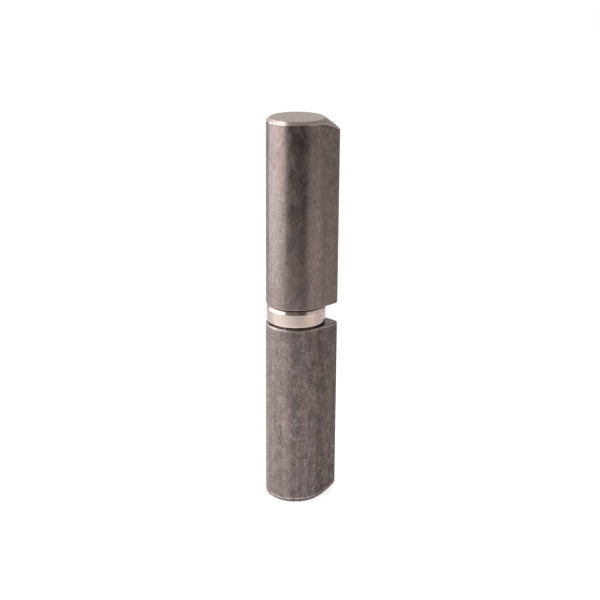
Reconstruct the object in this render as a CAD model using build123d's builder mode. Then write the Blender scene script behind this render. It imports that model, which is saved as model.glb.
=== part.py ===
"""Weld-on barrel hinge with a closed ball thrust bearing, in millimetres.

Two equal leaves are cut from one drawn steel bar of drop section, a round barrel with a nose that is
welded to a gate or a post. The lower leaf holds a pressed pin. The upper leaf turns on that pin, rests
on a ball thrust bearing in a bright sheet-metal cover, and lifts off.

The hinge axis is Z, the lower leaf's outer end lies on the XY plane and both noses point to +X.
"""

import os
from math import acos, cos, degrees, radians, sin, tan

from build123d import *

os.makedirs("parts", exist_ok=True)

# ---------------------------------------------------------------- leaves
barrel_radius = 10.0  # round side of the drop section
nose_projection = 3.6  # how far the nose's tip stands out past the barrel
nose_tip_radius = 2.5
leaf_length = 61.75
end_face_setback = 1.25  # flat end face, inside the barrel's edge
end_cone_angle = 38.5  # slope of the turned cone around it, measured from the end face
end_cone_crown = 0.05  # the cone is turned very slightly convex
inner_edge_chamfer = 0.4

# ---------------------------------------------------------------- pin
pin_share = 0.5  # pin radius as a share of the barrel radius
pin_seat_depth = 26.0  # pressed into the lower leaf
pin_engagement = 28.0  # reach of the pin into the upper leaf
pin_foot_chamfer = 0.8
pin_lead_length = 2.0  # slim cone that guides the upper leaf on
pin_lead_taper = 0.7

# ---------------------------------------------------------------- bores
bore_running_clearance = 0.06  # radial, between the pin and the upper leaf
bore_tip_room = 2.0  # past the pin's end, so that the bearing carries the load
bore_seat_room = 0.5  # below the pin's foot in the lower leaf
bore_mouth_chamfer = 0.6
drill_point_angle = 118.0

# ---------------------------------------------------------------- thrust bearing
bearing_height = 6.5  # gap between the two leaves
bearing_bore_clearance = 0.2  # radial, between the pin and the races
ball_count = 14
ball_play = 0.03  # above and below each ball
groove_depth_share = 0.32  # of the ball radius
groove_conformity = 1.04  # groove radius as a share of the ball radius
cage_thickness = 0.9
cage_pocket_clearance = 0.1
cage_rim = 0.36  # metal inside and outside the pockets
cage_side_clearance = 0.23  # between the cage and either edge of the ball track

# ---------------------------------------------------------------- bearing cover
cover_setback = 0.17  # inside the barrel's radius
cover_wall = 0.6
cover_shoulder_radius = 1.5  # rounded top edge of the drawn cup
cover_race_clearance = 0.02  # upper race, seated in the cup
cover_running_clearance = 0.15  # lower race, turning in the cup
cover_floor_gap = 0.4  # between the cup's rim and the lower leaf
cover_rim_radius = 0.9  # rounded edge where the rim is rolled in under the lower race
lip_height = 0.5
lip_reach = 1.1
lip_clearance = 0.15

# ---------------------------------------------------------------- worked out from the sizes above
nose_reach = barrel_radius + nose_projection
nose_tip_centre = nose_reach - nose_tip_radius
end_face_radius = barrel_radius - end_face_setback
end_cone_slope = tan(radians(end_cone_angle))
blank_radius = nose_reach + 1.0
blank_end = (blank_radius - end_face_radius) * end_cone_slope
drill_point_slope = 1 / tan(radians(drill_point_angle / 2))

lower_face = leaf_length
upper_face = leaf_length + bearing_height
hinge_length = upper_face + leaf_length

pin_radius = barrel_radius * pin_share
pin_foot = lower_face - pin_seat_depth
pin_top = upper_face + pin_engagement

race_bore_radius = pin_radius + bearing_bore_clearance
cover_outer_radius = barrel_radius - cover_setback
cover_inner_radius = cover_outer_radius - cover_wall
lip_inner_radius = cover_inner_radius - lip_reach
upper_race_radius = cover_inner_radius - cover_race_clearance
lower_race_radius = cover_inner_radius - cover_running_clearance
lower_race_foot_radius = lip_inner_radius - lip_clearance

ball_circle_radius = (race_bore_radius + lower_race_radius) / 2
cage_inner_radius = race_bore_radius + cage_side_clearance
cage_outer_radius = lower_race_radius - cage_side_clearance
pocket_radius = (cage_outer_radius - cage_inner_radius) / 2 - cage_rim
ball_radius = pocket_radius - cage_pocket_clearance
groove_depth = ball_radius * groove_depth_share
groove_radius = ball_radius * groove_conformity
race_gap = 2 * (ball_radius + ball_play - groove_depth)
race_thickness = (bearing_height - cover_wall - race_gap) / 2

lower_race_top = lower_face + race_thickness
upper_race_bottom = lower_race_top + race_gap
cover_top_plate = upper_face - cover_wall
cover_rim = lower_face + cover_floor_gap
lip_top = cover_rim + lip_height
ball_plane = (lower_race_top + upper_race_bottom) / 2


# ---------------------------------------------------------------- leaf blank
# Drop section: the barrel circle and the small circle of the tip, joined by their common tangents.
with BuildSketch() as drop_section:
    Circle(barrel_radius)
    with Locations((nose_tip_centre, 0)):
        Circle(nose_tip_radius)
    make_hull()

# A length of the bar. Its outer end is turned to a cone about the hinge axis, which cuts the nose
# back further than the barrel, and the edge of its inner face is broken.
with BuildPart() as leaf_blank:
    add(drop_section.sketch)
    extrude(amount=leaf_length)
    with BuildSketch(Plane.XZ):
        with BuildLine():
            SagittaArc((end_face_radius, 0), (blank_radius, blank_end), -end_cone_crown)
            Polyline(
                (blank_radius, blank_end),
                (blank_radius, leaf_length),
                (0, leaf_length),
                (0, 0),
                (end_face_radius, 0),
            )
        make_face()
    revolve(axis=Axis.Z, mode=Mode.INTERSECT)
    chamfer(leaf_blank.faces().sort_by(Axis.Z)[-1].edges(), inner_edge_chamfer)


def bore_section(radius, depth):
    """Half section of a blind drilled bore: mouth chamfer, straight wall and drill point.

    X is the distance from the hinge axis and Y the depth below the mouth, counted down from zero.
    """
    with BuildSketch() as section:
        with BuildLine():
            Polyline(
                (0, 0),
                (radius + bore_mouth_chamfer, 0),
                (radius, -bore_mouth_chamfer),
                (radius, -depth),
                (0, -depth - radius * drill_point_slope),
                close=True,
            )
        make_face()
    return section.sketch


# ---------------------------------------------------------------- lower leaf
# Welded to the post. Its bore holds the pin.
with BuildPart() as lower_leaf:
    add(leaf_blank.part)
    with BuildSketch(Plane.XZ.shift_origin((0, 0, lower_face))):
        add(bore_section(pin_radius, pin_seat_depth + bore_seat_room))
    revolve(axis=Axis.Z, mode=Mode.SUBTRACT)
lower_leaf.part.label = "lower_leaf"
export_step(lower_leaf.part, "parts/lower_leaf.step")

# ---------------------------------------------------------------- upper leaf
# Welded to the gate. The same blank turned end for end, with a wider and deeper bore.
with BuildPart() as upper_leaf:
    mirror(leaf_blank.part, about=Plane.XY.offset(hinge_length / 2))
    with BuildSketch(Plane.XZ.shift_origin((0, 0, upper_face))):
        mirror(
            bore_section(pin_radius + bore_running_clearance, pin_engagement + bore_tip_room),
            about=Plane.XZ,
        )
    revolve(axis=Axis.Z, mode=Mode.SUBTRACT)
upper_leaf.part.label = "upper_leaf"
export_step(upper_leaf.part, "parts/upper_leaf.step")

# ---------------------------------------------------------------- hinge pin
# Ground round pin with a broken foot for pressing in and a slim lead at the top.
with BuildPart() as hinge_pin:
    with BuildSketch(Plane.XZ):
        with BuildLine():
            Polyline(
                (0, pin_foot),
                (pin_radius - pin_foot_chamfer, pin_foot),
                (pin_radius, pin_foot + pin_foot_chamfer),
                (pin_radius, pin_top - pin_lead_length),
                (pin_radius - pin_lead_taper, pin_top),
                (0, pin_top),
                close=True,
            )
        make_face()
    revolve(axis=Axis.Z)
hinge_pin.part.label = "hinge_pin"
export_step(hinge_pin.part, "parts/hinge_pin.step")

# ---------------------------------------------------------------- lower race
# Hardened washer on the lower leaf. Its foot is stepped in, to leave room for the cover's rolled rim.
with BuildPart() as lower_race:
    with BuildSketch(Plane.XZ):
        with BuildLine():
            Polyline(
                (race_bore_radius, lower_face),
                (lower_race_foot_radius, lower_face),
                (lower_race_foot_radius, lip_top + lip_clearance),
                (lower_race_radius, lip_top + lip_clearance),
                (lower_race_radius, lower_race_top),
                (race_bore_radius, lower_race_top),
                close=True,
            )
        make_face()
        with Locations((ball_circle_radius, lower_race_top - groove_depth + groove_radius)):
            Circle(groove_radius, mode=Mode.SUBTRACT)
    revolve(axis=Axis.Z)
lower_race.part.label = "lower_race"
export_step(lower_race.part, "parts/lower_race.step")

# ---------------------------------------------------------------- upper race
# Hardened washer seated in the cover. Its top edge is broken, to clear the cup's rounded inside corner.
with BuildPart() as upper_race:
    with BuildSketch(Plane.XZ):
        with BuildLine():
            Polyline(
                (race_bore_radius, upper_race_bottom),
                (upper_race_radius, upper_race_bottom),
                (upper_race_radius, cover_top_plate),
                (race_bore_radius, cover_top_plate),
                close=True,
            )
        make_face()
        with Locations((ball_circle_radius, upper_race_bottom + groove_depth - groove_radius)):
            Circle(groove_radius, mode=Mode.SUBTRACT)
    revolve(axis=Axis.Z)
    seat_edge = upper_race.edges().group_by(Axis.Z)[-1].sort_by(SortBy.RADIUS)[-1]
    chamfer(seat_edge, cover_shoulder_radius - cover_wall)
upper_race.part.label = "upper_race"
export_step(upper_race.part, "parts/upper_race.step")

# ---------------------------------------------------------------- bearing cover
# Cup drawn from sheet with a round shoulder. Its rim is rolled in below the lower race and holds the
# bearing together when the upper leaf is lifted off.
with BuildPart() as bearing_cover:
    with BuildSketch(Plane.XZ):
        with BuildLine():
            Polyline(
                (race_bore_radius, upper_face),
                (cover_outer_radius, upper_face),
                (cover_outer_radius, cover_rim),
                (lip_inner_radius, cover_rim),
                (lip_inner_radius, lip_top),
                (cover_inner_radius, lip_top),
                (cover_inner_radius, cover_top_plate),
                (race_bore_radius, cover_top_plate),
                close=True,
            )
        make_face()
    revolve(axis=Axis.Z)
    shoulder = bearing_cover.edges().group_by(Axis.Z)[-1].sort_by(SortBy.RADIUS)[-1]
    fillet(shoulder, cover_shoulder_radius)
    corner = bearing_cover.edges().filter_by_position(Axis.Z, cover_top_plate, cover_top_plate)
    fillet(corner.sort_by(SortBy.RADIUS)[-1], cover_shoulder_radius - cover_wall)
    rim = bearing_cover.edges().group_by(Axis.Z)[0].sort_by(SortBy.RADIUS)[-1]
    fillet(rim, cover_rim_radius)
bearing_cover.part.label = "bearing_cover"
export_step(bearing_cover.part, "parts/bearing_cover.step")

# ---------------------------------------------------------------- ball cage
# Flat ring with one round pocket for each ball.
with BuildPart() as ball_cage:
    with BuildSketch(Plane.XY.offset(ball_plane - cage_thickness / 2)):
        Circle(cage_outer_radius)
        Circle(cage_inner_radius, mode=Mode.SUBTRACT)
        with PolarLocations(ball_circle_radius, ball_count):
            Circle(pocket_radius, mode=Mode.SUBTRACT)
    extrude(amount=cage_thickness)
ball_cage.part.label = "ball_cage"
export_step(ball_cage.part, "parts/ball_cage.step")

# ---------------------------------------------------------------- balls
for number in range(ball_count):
    turn = radians(360 * number / ball_count)
    with BuildPart() as ball:
        with Locations((ball_circle_radius * cos(turn), ball_circle_radius * sin(turn), ball_plane)):
            Sphere(ball_radius)
    name = f"ball_{number + 1:02d}"
    ball.part.label = name
    export_step(ball.part, f"parts/{name}.step")

flank_angle = degrees(acos((barrel_radius - nose_tip_radius) / nose_tip_centre))
print(f"hinge length {hinge_length:.2f}, race thickness {race_thickness:.2f}")
print(f"weld flanks face {flank_angle:.1f} degrees either side of the nose")
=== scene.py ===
# %% [markdown]
# # A weld-on barrel hinge
#
# Two equal leaves are cut from one drawn steel bar. In section the bar is a drop: a round barrel with
# a nose on one side, and the nose is what gets welded to a gate or a post. Between the leaves sits a
# closed ball bearing in a bright sheet-metal cover, and a pin joins everything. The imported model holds
# every piece at its true size. This script gives the pieces their looks.

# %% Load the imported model
import math

import bpy
import numpy as np
from mathutils import Matrix, Vector


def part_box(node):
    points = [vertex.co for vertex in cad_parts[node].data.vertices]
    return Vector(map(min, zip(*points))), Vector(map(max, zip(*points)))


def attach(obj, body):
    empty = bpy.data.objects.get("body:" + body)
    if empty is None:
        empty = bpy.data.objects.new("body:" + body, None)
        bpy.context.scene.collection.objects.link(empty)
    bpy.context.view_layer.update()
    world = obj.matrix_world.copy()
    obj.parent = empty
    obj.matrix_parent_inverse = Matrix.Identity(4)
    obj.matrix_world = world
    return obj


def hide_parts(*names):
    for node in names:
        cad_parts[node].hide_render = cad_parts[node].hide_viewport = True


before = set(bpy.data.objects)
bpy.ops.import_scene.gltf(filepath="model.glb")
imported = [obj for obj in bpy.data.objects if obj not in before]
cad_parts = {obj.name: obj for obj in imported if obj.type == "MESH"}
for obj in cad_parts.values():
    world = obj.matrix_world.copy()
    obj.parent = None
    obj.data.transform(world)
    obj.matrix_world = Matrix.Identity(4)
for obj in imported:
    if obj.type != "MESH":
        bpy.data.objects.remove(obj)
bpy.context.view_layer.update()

print("nodes:", len(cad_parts))

# %% [markdown]
# ## Sizes
#
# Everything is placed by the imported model, so the leading sizes are read from the nodes' boxes and
# not typed again. Only what a box can't tell is given here: radii, bores and slopes. The lower leaf's
# bore grips the pin, and the upper leaf's is a little wider and runs on it. Blender works in metres,
# and small parts are easier to read in millimetres, so sizes go through `MM`.

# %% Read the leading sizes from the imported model
MM = 0.001

leaf_low, leaf_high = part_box("lower_leaf")
upper_low, upper_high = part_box("upper_leaf")
cover_low, cover_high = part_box("bearing_cover")
pin_low, pin_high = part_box("hinge_pin")

barrel_radius = leaf_high[1]
nose_reach = leaf_high[0]
leaf_length = leaf_high[2] - leaf_low[2]
upper_face = upper_low[2]
hinge_length = upper_high[2]
cover_radius = cover_high[1]
cover_rim = cover_low[2]
pin_radius = pin_high[1]

nose_tip_radius = 2.5 * MM
end_face_radius = barrel_radius - 1.25 * MM
end_cone_slope = math.tan(math.radians(38.5))
end_cone_crown = 0.05 * MM
end_cone_reach = nose_reach + 1 * MM
inner_chamfer = 0.4 * MM
grip_radius, grip_depth = 5.0 * MM, 26.5 * MM
running_radius, running_depth = 5.06 * MM, 30.0 * MM
bore_chamfer = 0.6 * MM
drill_point_slope = 1 / math.tan(math.radians(118 / 2))

print(f"barrel {2 * barrel_radius / MM:.1f} mm across, nose reach {nose_reach / MM:.1f} mm")
print(f"each leaf {leaf_length / MM:.2f} mm, whole hinge {hinge_length / MM:.1f} mm")

# %% [markdown]
# ## A way to build every turned or drawn shape
#
# A real edge is never sharp: a tool breaks it, or handling does, and the tiny round catches the light.
# One helper therefore builds all new pieces. It is given rings of points, one ring for each corner of
# the profile, and joins them by straight spans with a small round at each ring. The same helper makes
# a revolved cup, where the rings are circles, and the drop-shaped leaf, where they are not.

# %% Round one corner
def direction(a, b):
    """Unit vectors from the points a to the points b."""
    d = b - a
    return d / np.maximum(np.linalg.norm(d, axis=-1, keepdims=True), 1e-12)


def corner_arc(before, corner, after, radius, steps):
    """A round in each column of points, tangent to the lines before-corner and corner-after.

    With the turn T between the two lines, the round starts radius * tan(T / 2) short of the corner. It
    is the rational curve ((1-t)^2 A + 2wt(1-t) C + t^2 B) / ((1-t)^2 + 2wt(1-t) + t^2), which is an
    exact circle when w is cos(T / 2).
    """
    into, out = direction(before, corner), direction(corner, after)
    turn = np.arccos(np.clip(np.sum(into * out, axis=-1, keepdims=True), -1, 1))
    setback = radius * np.tan(turn / 2)
    a, b, w = corner - into * setback, corner + out * setback, np.cos(turn / 2)
    t = np.linspace(0, 1, steps + 1)[:, None, None]
    weights = (1 - t) ** 2, 2 * w * t * (1 - t), t ** 2
    return (weights[0] * a + weights[1] * corner + weights[2] * b) / sum(weights)


quarter = corner_arc(*np.array([[[1.0, 0, 0]], [[1, 1, 0]], [[0, 1, 0]]]), radius=1, steps=4)
print("a quarter round stays this far from its centre:", np.linalg.norm(quarter, axis=-1).round(6).ravel())

# %% [markdown]
# ## Rows along a whole profile
#
# Between two rounds the profile is straight, and a few rows are enough to carry it. They stand close
# together near the rounds, because the wear along an edge is stored on them. Each row also remembers
# which part of the profile it belongs to, so that a finish can be told to stay on that part.

# %% Join rings of points by straight spans
def rounded_surface(rings, radii, spans, steps=6):
    """Rows of points along a profile whose corners are the rings, each (columns, 3).

    A span between two rounds is cut so that its rows crowd towards both ends: row k of m lies at
    (1 - cos(pi k / m)) / 2 of the way. Returns the rows, the span that each row belongs to (span i plus
    a half for a row on the round after it), and each point's distance along the profile to the nearest
    corner.
    """
    last = len(rings) - 1
    arcs = [rings[0][None]]
    arcs += [corner_arc(rings[i - 1], rings[i], rings[i + 1], radii[i], steps) for i in range(1, last)]
    arcs += [rings[last][None]]
    rows, owner, corner_rows = [arcs[0]], [0.0], []
    for i in range(last):
        t = (1 - np.cos(np.pi * np.arange(1, spans[i]) / spans[i])) / 2
        start, end = arcs[i][-1], arcs[i + 1][0]
        rows.append(start + (end - start) * t[:, None, None])
        owner += [float(i)] * len(t)
        corner_rows.append(len(owner) + len(arcs[i + 1]) // 2)
        rows.append(arcs[i + 1])
        owner += [i + 0.5 if i + 1 < last else float(i)] * len(arcs[i + 1])
    rows = np.concatenate(rows)
    steps_along = np.linalg.norm(np.diff(rows, axis=0), axis=-1)
    along = np.concatenate([np.zeros((1, rows.shape[1])), np.cumsum(steps_along, axis=0)])
    corners = along[corner_rows[:-1]]
    nearest = np.abs(along[:, None] - corners[None]).min(axis=1)
    return rows, np.array(owner), nearest


# %% [markdown]
# ## From rows of points to a mesh
#
# Columns run round the piece and close on themselves. Where the first or last row shrinks to one point
# it becomes a pole: one vertex with a fan of triangles, so the shell has no hole and no pile of
# doubles. A shape with no poles, such as the cup, closes its last row on its first. The distance to
# the nearest corner is stored on the mesh, so that wear can follow the edges later.

# %% Make a closed mesh from rows of points
def link_piece(name, points, faces):
    """A new object with a mesh of the given points and faces, in the scene's collection."""
    mesh = bpy.data.meshes.new(name)
    mesh.from_pydata(points.tolist(), [], faces)
    piece = bpy.data.objects.new(name, mesh)
    bpy.context.scene.collection.objects.link(piece)
    return piece


def closed_mesh(name, rows, closed_profile, inside_out=False, **values):
    """A mesh from a (rows, columns, 3) array, with each keyword stored as a point attribute.

    Each face joins two neighbouring rows and two neighbouring columns. A row that is a pole keeps one
    vertex for all its columns.
    """
    count, columns = rows.shape[:2]
    index = np.arange(count * columns).reshape(count, columns)
    keep = np.ones((count, columns), bool)
    if not closed_profile:
        index[[0, -1]] = index[[0, -1], :1]
        keep[[0, -1], 1:] = False
    keep = keep.ravel()
    index = (np.cumsum(keep) - 1)[index]
    beside = np.roll(index, -1, axis=1)
    above, above_beside = np.roll(index, -1, axis=0), np.roll(beside, -1, axis=0)
    quads = np.stack([index, beside, above_beside, above], axis=-1)
    if closed_profile:
        faces = quads.reshape(-1, 4).tolist()
    else:
        faces = quads[1:-2].reshape(-1, 4).tolist()
        faces += quads[0][:, [0, 2, 3]].tolist() + quads[-2][:, [0, 1, 2]].tolist()
    if inside_out:
        faces = [face[::-1] for face in faces]
    piece = link_piece(name, rows.reshape(-1, 3)[keep], faces)
    piece.data.shade_smooth()
    for key, value in values.items():
        layer = piece.data.attributes.new(key, "FLOAT", "POINT")
        layer.data.foreach_set("value", np.broadcast_to(value, rows.shape[:2]).reshape(-1)[keep])
    print(f"{name}: {len(piece.data.vertices)} points, {len(piece.data.polygons)} faces")
    return piece


# %% [markdown]
# ## The drop section
#
# The bar is drawn through a die, so one outline runs its whole length: the barrel's circle, the small
# circle of the nose's tip, and the two straight flanks that touch both. It could be extruded, but the
# turned ends cut across it, so the outline is kept as one ring of points and carried along. How far each
# point lies from the joint of barrel and nose is kept too, because the colour changes there: a light
# streak runs along the joint, and a strip beside it carries painted light.

# %% Points round the drop outline
def drop_outline(round_points=132, flank_points=18, tip_points=22):
    """The outline's (x, y) points, their outward normals and whether each lies on the nose.

    The points run anticlockwise round the barrel, from the back flank's end to the front flank's, and
    then on round the nose. The flanks touch both circles where the normal makes the angle A with the
    nose, and cos A = (barrel radius - tip radius) / (distance between the two centres).
    """
    centre = nose_reach - nose_tip_radius
    a = math.acos((barrel_radius - nose_tip_radius) / centre)
    barrel = np.linspace(a, 2 * np.pi - a, round_points, endpoint=False)
    flank = np.linspace(0, 1, flank_points, endpoint=False)
    tip = np.linspace(-a, a, tip_points, endpoint=False)
    angle = np.concatenate([barrel, np.full(flank_points, -a), tip, np.full(flank_points, a)])
    radius = np.concatenate([
        np.full(round_points, barrel_radius),
        barrel_radius + (nose_tip_radius - barrel_radius) * flank,
        np.full(tip_points, nose_tip_radius),
        nose_tip_radius + (barrel_radius - nose_tip_radius) * flank,
    ])
    shift = np.concatenate([
        np.zeros(round_points), centre * flank, np.full(tip_points, centre), centre * (1 - flank),
    ])
    normal = np.stack([np.cos(angle), np.sin(angle)], axis=-1)
    points = normal * radius[:, None] + np.stack([shift, np.zeros_like(shift)], axis=-1)
    return points, normal, np.arange(len(angle)) >= round_points


outline, outline_normal, on_nose = drop_outline()
step_lengths = np.linalg.norm(np.roll(outline, -1, axis=0) - outline, axis=1)
way_round = np.cumsum(step_lengths) - step_lengths
front_joint = way_round[np.argmax(on_nose)]
from_back_joint = np.minimum(way_round, step_lengths.sum() - way_round)
from_joint = np.minimum(np.abs(way_round - front_joint), from_back_joint)
print(f"outline: {len(outline)} points, {np.ptp(outline[:, 0]) / MM:.1f} mm deep")

# %% [markdown]
# ## The two leaves
#
# Each leaf's outer end was faced off and turned to a cone about the hinge axis. The cone takes a narrow
# rim off the barrel and much more off the nose, because the nose stands further out. The inner end is
# faced, its edge is broken, and a blind bore is drilled for the pin. All of this is one closed skin,
# from the middle of the outer face over the sides and down the bore to the drill point.

# %% The corners of a leaf
def leaf_profile(bore_radius, bore_depth):
    """The corner rings of a leaf, each with its round in millimetres.

    The leaf stands on its outer end, and z is counted up from that end. On the cone
    z = slope * (r - r0) - 4 c t (1 - t), where r0 is the end face's radius, c the crown and t the share
    of the way from r0 to the crown's reach.
    """
    reach = np.linalg.norm(outline, axis=1)
    out = outline / reach[:, None]
    share = (reach - end_face_radius) / (end_cone_reach - end_face_radius)
    cut = end_cone_slope * (reach - end_face_radius) - 4 * end_cone_crown * share * (1 - share)

    def ring(points, height):
        return np.concatenate([points, np.broadcast_to(height, reach.shape)[:, None]], axis=1)

    floor = leaf_length - bore_depth
    return [
        (ring(out * 0, 0.0), 0),
        (ring(out * end_face_radius, 0.0), 0.7),
        (ring(outline, cut), 0.3),
        (ring(outline, leaf_length - inner_chamfer), 0.35),
        (ring(outline - outline_normal * inner_chamfer, leaf_length), 0.35),
        (ring(out * (bore_radius + bore_chamfer), leaf_length), 0.1),
        (ring(out * bore_radius, leaf_length - bore_chamfer), 0.1),
        (ring(out * bore_radius, floor), 0.2),
        (ring(out * 0, floor - bore_radius * drill_point_slope), 0),
    ]


print("corners of a leaf:", len(leaf_profile(grip_radius, grip_depth)))

# %% [markdown]
# ## What each part of a leaf's skin is
#
# One mesh carries several finishes, so each point is told what it is: turned bare (`machined`), faced at
# the inner end (`faced`), on the nose (`nose`), how far from the nose's joint (`joint`) and how far from
# the nearest corner (`edge`). The material reads these values. Separate materials would need a seam
# between them, and values can fade into each other.
#
# The lower leaf has stood and been pushed about on its foot, and the bright scuffed line runs a little
# above the corner. Its outer corner and nearly all of its cone are given the skin's dark tone in place of
# bare steel. That is painted shade: it stands for the shadowed floor under the foot, which the cone
# reflects.

# %% Build the leaves
span_rows = {"end face": 16, "cone": 8, "wall": 72, "chamfer": 2,
             "inner face": 10, "bore mouth": 2, "bore": 14, "drill point": 6}
span_names = list(span_rows)
cone, wall, chamfer, bore_mouth = map(span_names.index, ["cone", "wall", "chamfer", "bore mouth"])
outer_corner = cone + 0.5
scuff_height = 0.72 * MM
out_of_reach = 1 * MM
bare_left_on_shaded_cone = 0.1


def build_leaf(name, node, body, bore_radius, bore_depth, upside_down, scuffed_and_shaded_foot):
    """A leaf as one closed skin. The upper leaf is the same skin with z turned end for end.

    On a scuffed and shaded foot the distance to the corner becomes |distance - scuff height|, so the
    wear that follows it moves up the wall, and everything below the wall is put out of the wear's
    reach. The corner and the cone also keep the skin's dark tone in place of bare steel: painted
    shade for the shadowed floor under the foot that they reflect.
    """
    rings, rounds = zip(*leaf_profile(bore_radius, bore_depth))
    rows, owner, nearest = rounded_surface(rings, np.array(rounds) * MM, list(span_rows.values()))
    machined = np.where((owner > outer_corner) & (owner < bore_mouth), 0.0, 1.0)
    faced = np.where((owner > chamfer) & (owner < bore_mouth), 1.0, 0.0)
    if scuffed_and_shaded_foot:
        wall_rows = np.flatnonzero(owner == wall)
        foot = wall_rows[:len(wall_rows) // 2]
        nearest[foot] = np.abs(nearest[foot] - scuff_height)
        nearest[:foot[0]] = out_of_reach
        # Painted shade: the foot's corner and cone keep the skin's dark tone, for the shadowed floor they
        # reflect.
        machined[owner == outer_corner] = 0
        machined[owner == cone] = bare_left_on_shaded_cone
    if upside_down:
        rows = rows * [1, 1, -1] + [0, 0, hinge_length]
    piece = closed_mesh(
        name, rows, closed_profile=False, inside_out=upside_down, edge=nearest / MM, nose=on_nose * 1.0,
        machined=machined[:, None], faced=faced[:, None], joint=from_joint / MM)
    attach(piece, body)
    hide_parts(node)
    return piece


lower_leaf = build_leaf("lower_leaf_steel", "lower_leaf", "lower", grip_radius, grip_depth,
                        upside_down=False, scuffed_and_shaded_foot=True)
upper_leaf = build_leaf("upper_leaf_steel", "upper_leaf", "upper", running_radius, running_depth,
                        upside_down=True, scuffed_and_shaded_foot=False)

# %% [markdown]
# ## The bearing cover
#
# The cover is a cup drawn from thin sheet. Its shoulder is a true round, which is what draws the bright
# line just under the upper leaf, and its rim is rolled in under the lower race. It is round about the
# hinge axis, so its rings are circles, and the last ring joins the first. Each corner of the profile is
# given as its radius, its height and its round in millimetres.

# %% Build the cover
def circle(radius, height, columns=160):
    """A ring of points about the hinge axis: (r cos a, r sin a, z) for a from 0 to a full turn."""
    a = np.linspace(0, 2 * np.pi, columns, endpoint=False)
    return np.stack([radius * np.cos(a), radius * np.sin(a), np.full(columns, height)], axis=-1)


cover_wall = 0.6 * MM
cover_bore = pin_radius + 0.2 * MM
rim_inner = cover_radius - cover_wall - 1.1 * MM
rim_top = cover_rim + 0.5 * MM
cover_inner = cover_radius - cover_wall
plate = upper_face - cover_wall
mid_plate = (cover_bore + rim_inner) / 2

cover_profile = [
    (mid_plate, plate, 0), (cover_bore, plate, 0.08), (cover_bore, upper_face, 0.12),
    (cover_radius, upper_face, 1.5), (cover_radius, cover_rim, 0.9), (rim_inner, cover_rim, 0.15),
    (rim_inner, rim_top, 0.12), (cover_inner, rim_top, 0.08), (cover_inner, plate, 0.9),
    (mid_plate, plate, 0),
]
rings = [circle(r, z) for r, z, _ in cover_profile]
radii = [c * MM for _, _, c in cover_profile]
rows, _, nearest = rounded_surface(rings, radii, spans=[4, 2, 10, 12, 3, 3, 2, 6, 6], steps=12)
cover = closed_mesh("bearing_cover_sheet", rows[:-1], closed_profile=True, edge=nearest[:-1] / MM)
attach(cover, "bearing_top")
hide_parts("bearing_cover")

# %% [markdown]
# ## The pin
#
# The pin is ground and hardened. Its foot has a broken edge for pressing in, and its head has a slim
# cone that guides the upper leaf on. It shows only when the upper leaf is lifted.

# %% Build the pin
foot_edge = 0.8 * MM
lead_width, lead_length = 0.7 * MM, 2 * MM

pin_profile = [
    (0, pin_low[2], 0), (pin_radius - foot_edge, pin_low[2], 0.15),
    (pin_radius, pin_low[2] + foot_edge, 0.15), (pin_radius, pin_high[2] - lead_length, 0.5),
    (pin_radius - lead_width, pin_high[2], 0.3), (0, pin_high[2], 0),
]
rings = [circle(r, z) for r, z, _ in pin_profile]
radii = [c * MM for _, _, c in pin_profile]
rows, _, nearest = rounded_surface(rings, radii, spans=[5, 3, 40, 3, 8])
pin = closed_mesh("hinge_pin_ground", rows, closed_profile=False, edge=nearest / MM)
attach(pin, "lower")
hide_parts("hinge_pin")

# %% [markdown]
# ## Building materials from nodes
#
# A material is a graph, and most of its lines make a node and join its sockets. One short helper does
# both: it makes a node, sets or links its inputs, and returns it. The others are for the nodes that come
# up most: arithmetic, a change of range, and a mix of two colours.

# %% Helpers that add a node and fill its inputs
def add_node(tree, kind, inputs=None, **settings):
    """Adds a node, applies its settings, then links each input that is a socket and sets the rest."""
    node = tree.nodes.new(kind)
    for key, value in settings.items():
        setattr(node, key, value)
    for key, value in (inputs or {}).items():
        if isinstance(value, bpy.types.NodeSocket):
            tree.links.new(value, node.inputs[key])
        else:
            node.inputs[key].default_value = value
    return node


def maths(tree, operation, *values, clamp=False):
    """A Math node's result."""
    inputs = dict(enumerate(values))
    return add_node(tree, "ShaderNodeMath", inputs, operation=operation, use_clamp=clamp).outputs[0]


def remap(tree, value, low, high, new_low=0.0, new_high=1.0):
    """A value carried smoothly from one range to another and held at the ends."""
    inputs = {"Value": value, "From Min": low, "From Max": high, "To Min": new_low, "To Max": new_high}
    kind = {"interpolation_type": "SMOOTHSTEP"}
    return add_node(tree, "ShaderNodeMapRange", inputs, **kind).outputs["Result"]


def blend_colour(tree, factor, a, b, mode="MIX"):
    """Two colours mixed by a factor."""
    inputs = {0: factor, 6: a, 7: b}
    return add_node(tree, "ShaderNodeMix", inputs, data_type="RGBA", blend_type=mode).outputs[2]


# %% [markdown]
# ## Effects that several metals share
#
# Grain, wear and tool marks turn up on more than one metal. Each is built once as a node group with named
# inputs and outputs, and then placed in every material that needs it, with that material's own values.

# %% Make a group, and place one
def new_group(name, inputs, outputs):
    """An empty node group with the named sockets, and its two end nodes."""
    tree = bpy.data.node_groups.new(name, "ShaderNodeTree")
    for socket, kind, default in inputs:
        item = tree.interface.new_socket(socket, in_out="INPUT", socket_type=kind)
        if default is not None:
            item.default_value = default
    for socket, kind in outputs:
        tree.interface.new_socket(socket, in_out="OUTPUT", socket_type=kind)
    return tree, tree.nodes.new("NodeGroupInput"), tree.nodes.new("NodeGroupOutput")


def use_group(tree, name, **inputs):
    """A group placed in a material with its own values. An underscore in an input's name is a space."""
    values = {key.replace("_", " "): value for key, value in inputs.items()}
    return add_node(tree, "ShaderNodeGroup", values, node_tree=bpy.data.node_groups[name])


FLOAT, VECTOR = "NodeSocketFloat", "NodeSocketVector"

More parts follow.
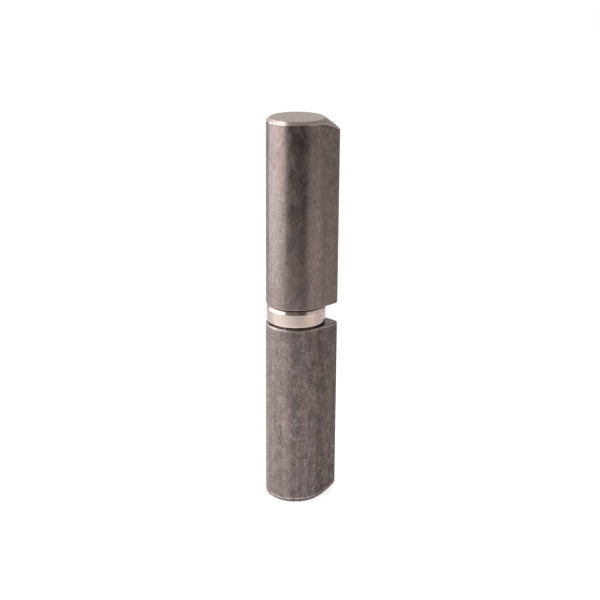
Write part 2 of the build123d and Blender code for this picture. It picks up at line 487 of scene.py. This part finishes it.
# %% [markdown]
# ## Draw lines
#
# A bar pulled through a die comes out with fine lines along its length. A noise does it if its
# coordinates are squeezed along the axis: the pattern then changes quickly round the bar and slowly
# along it. Two sizes of line are mixed, because the die leaves a few broad bands and many hairlines.
# They are given as so many to a metre of bar, measured across it.

# %% Group: lines along the hinge axis
squeeze = (1, 1, 0.012)
hairs_to_a_metre, bands_to_a_metre = 2600.0, 420.0

tree, given, result = new_group(
    "Draw lines",
    [("Vector", VECTOR, None), ("Fineness", FLOAT, 1.0)],
    [("Lines", FLOAT), ("Bands", FLOAT)],
)
squeezed = add_node(tree, "ShaderNodeMapping", {"Vector": given.outputs["Vector"], "Scale": squeeze})
hair_scale = maths(tree, "MULTIPLY", given.outputs["Fineness"], hairs_to_a_metre)
band_scale = maths(tree, "MULTIPLY", given.outputs["Fineness"], bands_to_a_metre)
hair = add_node(tree, "ShaderNodeTexNoise",
                {"Vector": squeezed.outputs[0], "Scale": hair_scale, "Detail": 3.0, "Roughness": 0.6})
band = add_node(tree, "ShaderNodeTexNoise",
                {"Vector": squeezed.outputs[0], "Scale": band_scale, "Detail": 2.0, "Roughness": 0.5})
tree.links.new(remap(tree, hair.outputs["Fac"], 0.25, 0.75), result.inputs["Lines"])
tree.links.new(remap(tree, band.outputs["Fac"], 0.3, 0.7), result.inputs["Bands"])
print("group:", tree.name)

# %% [markdown]
# ## Scale and stains
#
# Raw steel keeps a thin grey-brown skin of oxide. It is uneven in several ways: broad cloudy stains, a
# soft mottle of patches, a finer speckle, a fine grain, warm brown areas, darker smooth patches, dark
# pits, and light worm-like marks where the skin is thin. Each is a noise of its own size, drawn out along
# the bar as the steel was. The worms are the places where a soft noise passes through its middle value,
# because those places form thin wandering lines. A second noise breaks them into short pieces.

# %% Group: mottled oxide skin
tree, given, result = new_group(
    "Oxide skin",
    [("Vector", VECTOR, None), ("Patch size", FLOAT, 1.0)],
    [("Clouds", FLOAT), ("Mottle", FLOAT), ("Speckle", FLOAT), ("Grain", FLOAT), ("Brown", FLOAT),
     ("Pits", FLOAT), ("Worms", FLOAT), ("Smooth patches", FLOAT)],
)
size = maths(tree, "DIVIDE", 1.0, given.outputs["Patch size"])


def oxide_noise(scale, detail, roughness, distortion, along):
    """Noise of so many features to a metre, drawn out along the hinge axis by the factor 1 / along."""
    drawn_out = add_node(tree, "ShaderNodeMapping",
                         {"Vector": given.outputs["Vector"], "Scale": (1, 1, along)})
    inputs = {"Vector": drawn_out.outputs[0], "Scale": maths(tree, "MULTIPLY", size, scale),
              "Detail": detail, "Roughness": roughness, "Distortion": distortion}
    return add_node(tree, "ShaderNodeTexNoise", inputs).outputs["Fac"]


oxide_layers = {
    "Clouds": (oxide_noise(95.0, 3.0, 0.55, 0.3, along=0.45), 0.35, 0.65),
    "Mottle": (oxide_noise(430.0, 4.0, 0.62, 0.8, along=0.55), 0.36, 0.64),
    "Brown": (oxide_noise(150.0, 3.0, 0.6, 0.4, along=0.3), 0.48, 0.66),
    "Speckle": (oxide_noise(1150.0, 2.0, 0.6, 0.3, along=0.6), 0.32, 0.68),
    "Grain": (oxide_noise(2600.0, 3.0, 0.7, 0.0, along=0.6), 0.32, 0.68),
    "Pits": (oxide_noise(800.0, 2.0, 0.5, 0.5, along=0.7), 0.65, 0.73),
    "Smooth patches": (oxide_noise(135.0, 3.0, 0.55, 0.6, along=0.4), 0.55, 0.60),
}
for layer, (noise, low, high) in oxide_layers.items():
    tree.links.new(remap(tree, noise, low, high), result.inputs[layer])

wander = oxide_noise(600.0, 2.4, 0.6, 0.45, along=0.8)
broken = oxide_noise(420.0, 3.0, 0.6, 0.0, along=0.7)
off_middle = maths(tree, "ABSOLUTE", maths(tree, "SUBTRACT", wander, 0.5))
thin_line = remap(tree, off_middle, 0.006, 0.050, 1.0, 0.0)
worms = maths(tree, "MULTIPLY", thin_line, remap(tree, broken, 0.47, 0.58))
tree.links.new(worms, result.inputs["Worms"])
print("group:", tree.name)

# %% [markdown]
# ## Wear along edges
#
# Handling rubs the skin off the edges first and leaves bare bright metal. Each new mesh knows how far
# every point is from its nearest corner, so the wear is a band of a chosen width along that distance,
# made ragged by a noise. It follows whatever line the distance starts from, so the lower leaf's scuffed
# foot needs nothing more. Distance and width are in millimetres.

# %% Group: ragged wear along the corners
tree, given, result = new_group(
    "Edge wear",
    [("Vector", VECTOR, None), ("Distance", FLOAT, 1.0), ("Width", FLOAT, 0.4)],
    [("Wear", FLOAT)],
)
ragged = add_node(tree, "ShaderNodeTexNoise",
                  {"Vector": given.outputs["Vector"], "Scale": 900.0, "Detail": 3.0, "Roughness": 0.6})
unevenness = remap(tree, ragged.outputs["Fac"], 0.3, 0.7, 0.3, 1.6)
reach = maths(tree, "MULTIPLY", given.outputs["Width"], unevenness)
share_of_reach = maths(tree, "DIVIDE", given.outputs["Distance"], reach)
tree.links.new(remap(tree, share_of_reach, 0.1, 1.0, 1.0, 0.0), result.inputs["Wear"])
print("group:", tree.name)

# %% [markdown]
# ## Turning marks
#
# A lathe tool leaves fine rings about the axis on every faced end, and forming leaves them on the cup.
# The rings are a noise read along the distance from the axis alone, and, for a wall, along the height
# too. Their pitch is in millimetres.

# %% Group: rings about the hinge axis
tree, given, result = new_group(
    "Turning marks",
    [("Vector", VECTOR, None), ("Pitch", FLOAT, 0.1), ("On walls", FLOAT, 0.0)],
    [("Rings", FLOAT)],
)
parts = add_node(tree, "ShaderNodeSeparateXYZ", {"Vector": given.outputs["Vector"]})
squares = maths(tree, "ADD", maths(tree, "MULTIPLY", parts.outputs["X"], parts.outputs["X"]),
                maths(tree, "MULTIPLY", parts.outputs["Y"], parts.outputs["Y"]))
radial = maths(tree, "SQRT", squares)
height = maths(tree, "MULTIPLY", parts.outputs["Z"], given.outputs["On walls"])
place = maths(tree, "ADD", radial, height)
wide = maths(tree, "DIVIDE", place, maths(tree, "MULTIPLY", given.outputs["Pitch"], MM))
rings_noise = add_node(tree, "ShaderNodeTexNoise",
                       {"W": wide, "Scale": 1.0, "Detail": 2.0, "Roughness": 0.7}, noise_dimensions="1D")
tree.links.new(remap(tree, rings_noise.outputs["Fac"], 0.25, 0.75), result.inputs["Rings"])
print("group:", tree.name)

# %% [markdown]
# ## Drawn steel for the leaves
#
# The sides keep the oxide skin: a dark metal, half dull, with the draw lines and the mottle in both its
# colour and its gloss. The outer faces and cones are bare steel, much lighter, with turning marks, and
# the worn edges show a little of it too. The faced inner end has the skin's tone but is smoother.
# The mesh's own values say which is which.
#
# The finish is put together in four steps: the skin's colour, the nose, the marks on top with the bare
# places, and last the gloss and the relief. A step takes the colour so far and lays something over it
# through a mask, so each can be read and changed on its own.

# %% Helpers for a metal
def principled(name):
    """A new material with a Principled BSDF, and its tree and shader."""
    material = bpy.data.materials.new(name)
    material.use_nodes = True
    return material, material.node_tree, material.node_tree.nodes["Principled BSDF"]


def attribute(tree, name):
    """A value stored on the mesh."""
    return add_node(tree, "ShaderNodeAttribute", attribute_name=name).outputs["Fac"]


def share(tree, mask, amount):
    """A mask at a part of its strength."""
    return maths(tree, "MULTIPLY", mask, amount)


def add_bump(tree, shader, height, depth, strength):
    """A relief on the shader's surface, from a height that goes from 0 to 1 and stands for the depth."""
    inputs = {"Height": height, "Distance": depth, "Strength": strength}
    bump = add_node(tree, "ShaderNodeBump", inputs)
    tree.links.new(bump.outputs["Normal"], shader.inputs["Normal"])


# %% [markdown]
# ### The skin's colour
#
# The tone starts midway between a dark and a light brown, and a mix of noises sways it to either side:
# grain, speckle, mottle and the die's bands. In the smooth patches it sways less. Cloudy stains, brown
# areas and the patches' own tone are then laid over it.

# %% The skin's colour
dark_skin, light_skin = (0.070, 0.055, 0.056), (0.245, 0.198, 0.196)
cloud_tone, brown_tone, patch_tone = (0.148, 0.128, 0.110), (0.190, 0.135, 0.110), (0.124, 0.094, 0.100)
sway_lost_in_patches = 0.6


def skin_colour(tree, skin, lines, bright, shares):
    """Dark and light skin mixed by 1/2 + calm * (the sum of weight * (noise - 1/2)), then overlaid."""
    sway = 0.0
    noises = [skin["Grain"], skin["Speckle"], skin["Mottle"], lines["Bands"]]
    for noise, weight in zip(noises, shares):
        sway = maths(tree, "MULTIPLY_ADD", maths(tree, "SUBTRACT", noise, 0.5), weight, sway)
    calm = maths(tree, "MULTIPLY_ADD", skin["Smooth patches"], -sway_lost_in_patches, 1.0)
    tone = maths(tree, "MULTIPLY_ADD", sway, calm, 0.5)

    written = [dark_skin, light_skin, cloud_tone, brown_tone, patch_tone]
    dark, light, cloud, brown, patch = [tuple(bright * c for c in rgb) + (1,) for rgb in written]
    colour = blend_colour(tree, tone, dark, light)
    colour = blend_colour(tree, share(tree, skin["Clouds"], 0.40), colour, cloud)
    colour = blend_colour(tree, share(tree, skin["Brown"], 0.40), colour, brown)
    return blend_colour(tree, share(tree, skin["Smooth patches"], 0.55), colour, patch)


# %% [markdown]
# ### The nose and its joint
#
# The nose gets a tint of its own, stronger in some of the die's bands than in others. On the lower leaf
# the tint is painted shade, darkening the nose for the dim side its flank faces. On the upper leaf it is a
# warmer tone. A ragged light streak runs along its joint with the barrel. A strip beside that joint is
# tinted too, as painted light: darker on the lower leaf, lighter on the upper. The tints are multiplied
# on, so the skin's pattern shows through them.

# %% The nose's tone
streak_tone = (0.26, 0.215, 0.20)
streak_width = 1.1
strip_start, strip_end = 1.6, 3.6


def add_nose(tree, colour, skin, lines, nose_tone_and_shade, strip_painted_light):
    """The colour with the streak along the joint, the nose's tone and painted shade, and the strip's
    painted light.

    The streak fades out over its width and the strip from its start to its end, all in millimetres
    from the joint.
    """
    on_the_nose, joint_distance = attribute(tree, "nose"), attribute(tree, "joint")
    at_joint = remap(tree, joint_distance, 0.0, streak_width, 1.0, 0.0)
    streak = maths(tree, "MULTIPLY", at_joint, remap(tree, skin["Speckle"], 0.0, 1.0, 0.1, 0.5))
    colour = blend_colour(tree, streak, colour, streak_tone + (1,))
    # The nose's tint: painted shade on the lower leaf, for the dim side its flank faces, and a warmer tone
    # on the upper.
    nose = maths(tree, "MULTIPLY", on_the_nose, remap(tree, lines["Bands"], 0.0, 1.0, 0.5, 1.0))
    colour = blend_colour(tree, nose, colour, nose_tone_and_shade + (1,), "MULTIPLY")
    # The strip's tint is painted light: painted shade on the lower leaf, a painted highlight on the upper.
    beside_barrel = remap(tree, joint_distance, strip_start, strip_end, 1.0, 0.0)
    strip = maths(tree, "MULTIPLY", on_the_nose, beside_barrel)
    return blend_colour(tree, strip, colour, strip_painted_light + (1,), "MULTIPLY")


# %% [markdown]
# ### Marks, and the bare places
#
# Light worms, dark pits and the die's hairlines come last on the skin. Where the lathe has been, none of
# it is left: the colour is bare steel with turning marks. Worn edges show about half of that and the
# faced inner end a tenth, and one mask keeps the strongest of the three.

# %% Marks and bare steel
worm_tone, pit_tone, line_tone = (0.36, 0.31, 0.29), (0.055, 0.038, 0.033), (0.09, 0.07, 0.067)
bare_light, bare_dark = (0.52, 0.45, 0.42), (0.42, 0.35, 0.32)
bare_on_edges, bare_on_faced = 0.48, 0.10


def add_marks(tree, colour, skin, lines, worms):
    """The colour with worms, pits and hairlines laid over it."""
    colour = blend_colour(tree, share(tree, skin["Worms"], worms), colour, worm_tone + (1,))
    colour = blend_colour(tree, share(tree, skin["Pits"], 0.60), colour, pit_tone + (1,))
    return blend_colour(tree, share(tree, lines["Lines"], 0.25), colour, line_tone + (1,))


def bare_mask(tree, coordinates, worn):
    """How bare the steel is: the strongest of turned, worn and faced."""
    wear = use_group(tree, "Edge wear", Vector=coordinates, Distance=attribute(tree, "edge"), Width=worn)
    worn_away = share(tree, wear.outputs["Wear"], bare_on_edges)
    bare = maths(tree, "MAXIMUM", attribute(tree, "machined"), worn_away)
    return maths(tree, "MAXIMUM", bare, share(tree, attribute(tree, "faced"), bare_on_faced))


# %% [markdown]
# ### Gloss and relief
#
# The skin's gloss wavers with its mottle and grain, and bare or faced steel is smoother. The relief is
# about a hundredth of a millimetre deep: draw lines, mottle, grain and worms on the skin, and rings where
# the lathe has been.

# %% Gloss and relief
bare_roughness = 0.22
relief_depth = 0.012 * MM


def add_gloss(tree, shader, skin, bare, roughness):
    """Roughness that wavers about its mean on the skin and falls to that of bare steel."""
    dull = remap(tree, skin["Mottle"], 0.0, 1.0, roughness - 0.05, roughness + 0.05)
    dull = maths(tree, "MULTIPLY_ADD", skin["Grain"], 0.06, dull)
    smooth = maths(tree, "MAXIMUM", bare, attribute(tree, "faced"))
    mixed = add_node(tree, "ShaderNodeMix", {0: smooth, 2: dull, 3: bare_roughness}, data_type="FLOAT")
    tree.links.new(mixed.outputs[0], shader.inputs["Roughness"])


def add_relief(tree, shader, skin, lines, marks):
    """The skin's relief, and the lathe's rings in its place where the steel is turned."""
    relief = share(tree, lines["Lines"], 0.30)
    for noise, weight in (skin["Mottle"], 0.12), (skin["Grain"], 0.10), (skin["Worms"], 0.15):
        relief = maths(tree, "MULTIPLY_ADD", noise, weight, relief)
    inputs = {0: attribute(tree, "machined"), 2: relief, 3: share(tree, marks["Rings"], 0.15)}
    height = add_node(tree, "ShaderNodeMix", inputs, data_type="FLOAT")
    add_bump(tree, shader, height.outputs[0], relief_depth, 1.0)


# %% [markdown]
# ### One finish for two leaves
#
# The leaves come from the same bar, but the upper one is smoother. Its nose carries a painted highlight
# beside the barrel, where the lower leaf's nose carries painted shade. So the finish is a function with a
# few numbers of its own for each leaf, and a seed that moves the pattern, so that no mark turns up on
# both.

# %% Material: drawn steel
def drawn_steel(name, roughness, bright, shares, worms, worn, nose_tone_and_shade, strip_painted_light, seed):
    """The leaves' finish.

    roughness is the skin's mean and bright a factor on its colours. shares says how much grain,
    speckle, mottle and band sway the tone about its middle. worms is the strength of the light worm
    marks and worn the width of the worn edges in millimetres. The nose's tint multiplies the nose:
    painted shade on the lower leaf, a warmer tone on the upper. The strip's tint multiplies the strip of
    it beside the barrel: painted shade where it is below one, a painted highlight where it is above one.
    seed moves the pattern.
    """
    material, tree, shader = principled(name)
    coordinates = add_node(tree, "ShaderNodeTexCoord").outputs["Object"]
    moved = add_node(tree, "ShaderNodeMapping", {"Vector": coordinates, "Location": (seed, -seed, seed)})
    lines = use_group(tree, "Draw lines", Vector=moved.outputs[0], Fineness=1.0).outputs
    skin = use_group(tree, "Oxide skin", Vector=moved.outputs[0], Patch_size=1.0).outputs
    marks = use_group(tree, "Turning marks", Vector=coordinates, Pitch=0.09).outputs

    colour = skin_colour(tree, skin, lines, bright, shares)
    colour = add_nose(tree, colour, skin, lines, nose_tone_and_shade, strip_painted_light)
    colour = add_marks(tree, colour, skin, lines, worms)
    bare_colour = blend_colour(tree, marks["Rings"], bare_light + (1,), bare_dark + (1,))
    bare = bare_mask(tree, coordinates, worn)
    tree.links.new(blend_colour(tree, bare, colour, bare_colour), shader.inputs["Base Color"])
    shader.inputs["Metallic"].default_value = 1.0
    add_gloss(tree, shader, skin, bare, roughness)
    add_relief(tree, shader, skin, lines, marks)
    print("material:", name)
    return material


# The lower leaf's nose and strip tints darken it as painted shade. The upper leaf's strip tint lightens it
# as a painted highlight.
lower_finish = drawn_steel(
    "drawn steel, lower leaf", roughness=0.50, bright=1.06, shares=(0.36, 0.41, 0.45, 0.42), worms=0.45,
    worn=0.45, nose_tone_and_shade=(0.77, 0.735, 0.705), strip_painted_light=(0.80, 0.79, 0.77), seed=0.413)
upper_finish = drawn_steel(
    "drawn steel, upper leaf", roughness=0.33, bright=1.0, shares=(0.24, 0.27, 0.16, 0.26), worms=0.26,
    worn=0.15, nose_tone_and_shade=(0.98, 0.91, 0.86), strip_painted_light=(1.22, 1.20, 1.17), seed=0.047)
lower_leaf.data.materials.append(lower_finish)
upper_leaf.data.materials.append(upper_finish)

# %% [markdown]
# ## Plated sheet for the cover
#
# The cover is bright plated steel with a warm tone. It mirrors the floor and the bright cards around
# it, a little blurred by the rings that forming leaves on it and by dull spots where fingers held it.

# %% Material: plated cover
material, tree, shader = principled("plated cover")
coordinates = add_node(tree, "ShaderNodeTexCoord").outputs["Object"]
marks = use_group(tree, "Turning marks", Vector=coordinates, Pitch=0.12, On_walls=1.0)
skin = use_group(tree, "Oxide skin", Vector=coordinates, Patch_size=1.6)
wear = use_group(tree, "Edge wear", Vector=coordinates, Distance=attribute(tree, "edge"), Width=0.25)
clean_plate, stained_plate = (0.475, 0.385, 0.345, 1), (0.435, 0.345, 0.300, 1)
worn_plate = (0.54, 0.46, 0.42, 1)
stain = maths(tree, "MULTIPLY", skin.outputs["Clouds"], 0.5)
colour = blend_colour(tree, stain, clean_plate, stained_plate)
rubbed = maths(tree, "MULTIPLY", wear.outputs["Wear"], 0.5)
tree.links.new(blend_colour(tree, rubbed, colour, worn_plate), shader.inputs["Base Color"])
dull = maths(tree, "MULTIPLY_ADD", skin.outputs["Mottle"], 0.05, 0.15)
dull = maths(tree, "MULTIPLY_ADD", marks.outputs["Rings"], 0.04, dull)
tree.links.new(dull, shader.inputs["Roughness"])
shader.inputs["Metallic"].default_value = 1.0
add_bump(tree, shader, marks.outputs["Rings"], 0.001 * MM, 0.6)
cover.data.materials.append(material)
print("material:", material.name)

# %% [markdown]
# ## Ground, pressed and polished steel inside
#
# The pin and the races are ground, which leaves very fine rings. The cage is pressed from sheet and
# tumbled satin, and the balls are polished. They differ only in tone, gloss and the pitch and depth of
# their marks, so one function makes all three. Except for the pin, these pieces need no new mesh: the
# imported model's own shapes are right and only get a finish.

# %% Materials: pin, races, cage and balls
def inner_steel(name, tone, roughness, pitch, depth):
    """Clean steel with rings about the hinge axis and a faint film of oil.

    pitch and depth are those of the rings, in millimetres.
    """
    material, tree, shader = principled(name)
    coordinates = add_node(tree, "ShaderNodeTexCoord").outputs["Object"]
    marks = use_group(tree, "Turning marks", Vector=coordinates, Pitch=pitch, On_walls=1.0)
    skin = use_group(tree, "Oxide skin", Vector=coordinates, Patch_size=1.3)
    film = maths(tree, "MULTIPLY", skin.outputs["Clouds"], 0.4)
    darker = tuple(c * 0.82 for c in tone) + (1,)
    tree.links.new(blend_colour(tree, film, tone + (1,), darker), shader.inputs["Base Color"])
    satin = maths(tree, "MULTIPLY_ADD", skin.outputs["Mottle"], 0.07, roughness)
    tree.links.new(satin, shader.inputs["Roughness"])
    shader.inputs["Metallic"].default_value = 1.0
    add_bump(tree, shader, marks.outputs["Rings"], depth * MM, 0.5)
    print("material:", name)
    return material


ground = inner_steel("ground steel", (0.60, 0.59, 0.57), roughness=0.20, pitch=0.05, depth=0.002)
satin_cage = inner_steel("cage steel", (0.52, 0.50, 0.47), roughness=0.34, pitch=0.2, depth=0.002)
polished = inner_steel("ball steel", (0.72, 0.72, 0.71), roughness=0.07, pitch=0.3, depth=0.0002)
pin.data.materials.append(ground)

finishes = {"lower_race": ground, "upper_race": ground, "ball_cage": satin_cage}
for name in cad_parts:
    if name.startswith("ball_") and name != "ball_cage":
        finishes[name] = polished
for name, finish in finishes.items():
    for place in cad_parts[name].material_slots:
        place.material = finish
print("CAD nodes finished:", len(finishes))

# %% [markdown]
# ## Floor and surroundings
#
# Polished steel shows what stands around it, so the surroundings are part of the finish. The hinge
# stands on a white sheet that ends about a quarter of a metre in front of it. Past that edge lies a dark
# studio floor that rises behind the camera and comes back overhead as a dark ceiling. The dark stripe on
# the front of the barrel is its image.

# %% A bent sheet and a paint
def bent_sheet(name, corners, bend, left, right):
    """A sheet whose (y, z) profile runs through the corners with round bends, from x left to x right."""
    rings = [np.array([[left, y, z], [right, y, z]]) for y, z in corners]
    if bend:
        radii = [0] + [bend] * (len(corners) - 2) + [0]
        rows, _, _ = rounded_surface(rings, radii, spans=[1] * (len(corners) - 1), steps=12)
    else:
        rows = np.stack(rings)
    k = 2 * np.arange(len(rows) - 1)
    faces = np.stack([k, k + 1, k + 3, k + 2], axis=-1).tolist()
    piece = link_piece(name, rows.reshape(-1, 3), faces)
    return piece


def paint(name, tone):
    """A dull paint for a backdrop."""
    material, _, shader = principled(name)
    shader.inputs["Base Color"].default_value = tone + (1,)
    shader.inputs["Roughness"].default_value = 0.9
    return material


def only_in_mirrors(piece, material):
    """Shows a sheet or card to mirror rays only. It lights nothing and stops no light."""
    piece.data.materials.append(material)
    piece.visible_camera = False
    piece.visible_diffuse = False
    piece.visible_shadow = False


sheet_front, sheet_back, sheet_side = -0.263, 3.0, 2.5
floor_line = [(sheet_front, 0), (sheet_back, 0)]
floor = bent_sheet("floor_sheet", floor_line, bend=0, left=-sheet_side, right=sheet_side)

below_sheet = -0.0005
behind_camera, overhead, ceiling_edge = -0.9, 0.95, -0.2
surround_profile = [(sheet_front, below_sheet), (behind_camera, below_sheet),
                    (behind_camera, overhead), (ceiling_edge, overhead)]
surround = bent_sheet("dark_surround", surround_profile, bend=0.25, left=-0.75, right=0.75)
only_in_mirrors(surround, paint("dark studio", (0.112, 0.120, 0.124)))
print("floor sheet from y", sheet_front, "to", sheet_back, "m")

# %% [markdown]
# ## Cards that only the metal shows
#
# A turned or drawn bar squeezes the whole room into upright stripes, so each stripe can be set by a card
# of its own. A card glows evenly and is seen by mirror rays alone: it shapes the reflections without
# changing the light on the floor. A dark patch of floor on the right, with a bright one on it, sets the
# stripes right of the middle. Grey cards behind and overhead set the ring's shoulder and the turned end.

# %% Cards right, behind and overhead
def glow(name, tone):
    """An even glow, for a card whose brightness in the metal is given and not lit by lamps."""
    material = bpy.data.materials.new(name)
    material.use_nodes = True
    tree = material.node_tree
    tree.nodes.clear()
    light = add_node(tree, "ShaderNodeEmission", {"Color": tone + (1,), "Strength": 1.0})
    add_node(tree, "ShaderNodeOutputMaterial", {"Surface": light.outputs[0]})
    return material


def card(name, tone, corners):
    """A flat card through its four corners, with an even glow that only the metal shows."""
    piece = link_piece(name, np.array(corners), [(0, 1, 2, 3)])
    only_in_mirrors(piece, glow(name, tone))
    print("card:", name)


ceiling_grey = (0.37, 0.345, 0.33)
card("dark_floor_right", (0.09, 0.085, 0.08),
     [(0.06, -0.268, 0.0005), (0.06, -0.9, 0.0005), (1.3, -0.9, 0.0005), (1.3, 0.12, 0.0005)])
card("bright_floor_right", (1.75, 1.62, 1.51),
     [(0.145, -0.190, 0.001), (0.294, -0.327, 0.001), (0.62, -0.13, 0.001), (0.205, -0.044, 0.001)])
card("grey_backdrop", (0.66, 0.62, 0.60),
     [(-0.3, 1, 0.01), (1.3, 1, 0.01), (1.3, 1, 1.4), (-0.3, 1, 1.4)])
card("grey_card", (0.42, 0.40, 0.39),
     [(0.07, 0.98, 0.01), (1.3, 0.98, 0.01), (1.3, 0.98, 0.9), (0.45, 0.98, 0.9)])
card("ceiling_left", ceiling_grey,
     [(-0.6, -0.8, 0.10), (0.13, -0.8, 0.10), (0.13, -0.55, 0.85), (-0.6, -0.55, 0.85)])
card("ceiling_over", ceiling_grey,
     [(-0.6, -0.55, 0.85), (0.16, -0.55, 0.85), (0.16, -0.21, 0.90), (-0.6, -0.21, 0.90)])
card("ceiling", (0.46, 0.435, 0.42),
     [(-0.7, -0.21, 0.96), (1.3, -0.21, 0.96), (1.3, 1, 0.96), (-0.7, 1, 0.96)])

# %% [markdown]
# ## White sheet
#
# The sheet is white paper that the lamps light, and its own glow lifts it to full white where it is seen
# directly. To the camera the paper itself is greyer and most of the white is glow, so that the hinge's
# shadow on it stays faint. Mirror rays get next to no glow: the metal shows the sheet as the lamps light
# it, with the true dark line where the hinge stands. Rays that only carry light get none at all, so the
# sheet isn't a lamp.

# %% Material: white sheet
glow_to_camera, glow_to_mirrors = 0.80, 0.05
paper_to_lamps, paper_to_camera = 0.86, 0.35

material = bpy.data.materials.new("white sheet")
material.use_nodes = True
tree = material.node_tree
tree.nodes.clear()
path = add_node(tree, "ShaderNodeLightPath")
glossy, through = path.outputs["Is Glossy Ray"], path.outputs["Is Transmission Ray"]
mirror_ray = maths(tree, "ADD", glossy, through, clamp=True)
camera_glow = maths(tree, "MULTIPLY", path.outputs["Is Camera Ray"], glow_to_camera)
own_glow = maths(tree, "MULTIPLY_ADD", mirror_ray, glow_to_mirrors, camera_glow)
tone = remap(tree, path.outputs["Is Camera Ray"], 0.0, 1.0, paper_to_lamps, paper_to_camera)
paper = add_node(tree, "ShaderNodeBsdfDiffuse", {"Color": tone})
light = add_node(tree, "ShaderNodeEmission", {"Color": (1, 1, 1, 1), "Strength": own_glow})
both = add_node(tree, "ShaderNodeAddShader", {0: paper.outputs[0], 1: light.outputs[0]})
add_node(tree, "ShaderNodeOutputMaterial", {"Surface": both.outputs[0]})
floor.data.materials.append(material)
print("material:", material.name)

# %% [markdown]
# ## White world
#
# Beyond the sheet there is only the world, and it is white too. It is full white where the camera or a
# mirror ray sees it, and weaker as a light, so that the lamps still give the hinge its shadow.

# %% World: white where it is seen, weaker as a light
world_as_light = 0.58

world = bpy.data.worlds.new("studio")
bpy.context.scene.world = world
world.use_nodes = True
tree = world.node_tree
path = add_node(tree, "ShaderNodeLightPath")
mirror_ray = maths(tree, "ADD", path.outputs["Is Glossy Ray"], path.outputs["Is Transmission Ray"])
seen = maths(tree, "ADD", mirror_ray, path.outputs["Is Camera Ray"], clamp=True)
background = tree.nodes["Background"]
background.inputs["Color"].default_value = (1, 1, 1, 1)
tree.links.new(remap(tree, seen, 0.0, 1.0, world_as_light, 1.0), background.inputs["Strength"])
print("world:", world.name)

# %% [markdown]
# ## Lights
#
# Two tall soft boxes stand close on the left, one above the other. Each is split in two: a lamp that
# lights the sheet and that the metal doesn't show, and cards in its place that give the bright stripe
# down the barrel's left and over the left half of the turned end. Were one lamp to do both, either the
# stripe would be too weak or the sheet would be burnt out beside it.
#
# The other lamps aren't mirrored either. A small panel lights the sheet in front, on the left. A warm
# box on the right lights the sheet there, and a broad lamp hangs overhead.

# %% Lamps
def soft_box(name, place, aim, size, radiance, tint=(1, 1, 1)):
    """A rectangular lamp at a place, turned to face a point. The metal doesn't show it.

    Its power in watts is radiance * width * height * pi, so a larger lamp isn't a dimmer one.
    """
    data = bpy.data.lights.new(name, "AREA")
    data.shape = "RECTANGLE"
    data.size, data.size_y = size
    data.energy = radiance * size[0] * size[1] * math.pi
    data.color = tint
    lamp = bpy.data.objects.new(name, data)
    bpy.context.scene.collection.objects.link(lamp)
    way = Vector(aim) - Vector(place)
    lamp.matrix_world = Matrix.Translation(place) @ way.to_track_quat("-Z", "Y").to_matrix().to_4x4()
    lamp.visible_camera = False
    lamp.visible_glossy = False
    print(f"{name}: {data.energy:.2f} W")


cool, warm = (0.98, 1.0, 1.0), (1.0, 0.90, 0.82)
soft_box("left_box", (-0.24, -0.02, 0.22), aim=(0, -0.02, 0.22), size=(0.36, 0.44), radiance=0.80,
         tint=cool)
soft_box("upper_left_box", (-0.25, 0.08, 0.55), aim=(0, 0.08, 0.55), size=(0.44, 0.46), radiance=4.5,
         tint=cool)
soft_box("front_panel", (-0.075, -0.065, 0.12), aim=(-0.075, -0.065, 0), size=(0.13, 0.15), radiance=4.5)
soft_box("right_strip", (0.35, -0.14, 0.08), aim=(0, 0, 0.08), size=(0.12, 0.16), radiance=3.8, tint=warm)
soft_box("top_box", (0.0, 0.25, 0.9), aim=(0, 0.25, 0), size=(0.9, 0.9), radiance=0.5)


# %% Cards in the place of the left boxes
def upright(x, left, right, low, high):
    """Corners of a card that faces the hinge from the side, at x, from y left to y right."""
    return [(x, left, low), (x, right, low), (x, right, high), (x, left, high)]


card("left_card", (3.9, 3.95, 3.95), upright(-0.24, -0.25, 0.16, 0.0, 0.30))
card("upper_left_card", (1.78, 1.78, 1.78), upright(-0.25, -0.14, 0.37, 0.30, 0.52))
card("high_left_card", (2.6, 2.6, 2.6), upright(-0.25, -0.14, 0.37, 0.52, 0.80))

# %% [markdown]
# ## Camera
#
# The hinge is seen from about eighteen degrees above, straight at its side, with a lens of short
# telephoto length. It looks at a point just above the gap between the leaves, and it is turned by less
# than half a degree about its own line of sight. The Standard view shows each colour as it is written.

# %% Camera
elevation, distance, roll = math.radians(18.154), 0.46875, math.radians(0.452)
look_at = Vector((0.001249, 0.0, 0.06899))
focal_length, sensor_width = 85.36, 36.0
forward = Vector((0, math.cos(elevation), -math.sin(elevation)))
up = Vector((0, math.sin(elevation), math.cos(elevation)))
right = forward.cross(up)
rolled_right = right * math.cos(roll) + up * math.sin(roll)
rolled_up = up * math.cos(roll) - right * math.sin(roll)

camera_data = bpy.data.cameras.new("camera")
camera_data.lens, camera_data.sensor_width = focal_length, sensor_width
camera_data.clip_start = 0.01
camera = bpy.data.objects.new("camera", camera_data)
bpy.context.scene.collection.objects.link(camera)
axes = Matrix((rolled_right, rolled_up, -forward)).transposed().to_4x4()
camera.matrix_world = Matrix.Translation(look_at - forward * distance) @ axes
bpy.context.scene.camera = camera
bpy.context.scene.view_settings.view_transform = "Standard"
print("camera stands", round((look_at - forward * distance).length, 3), "m from the origin")
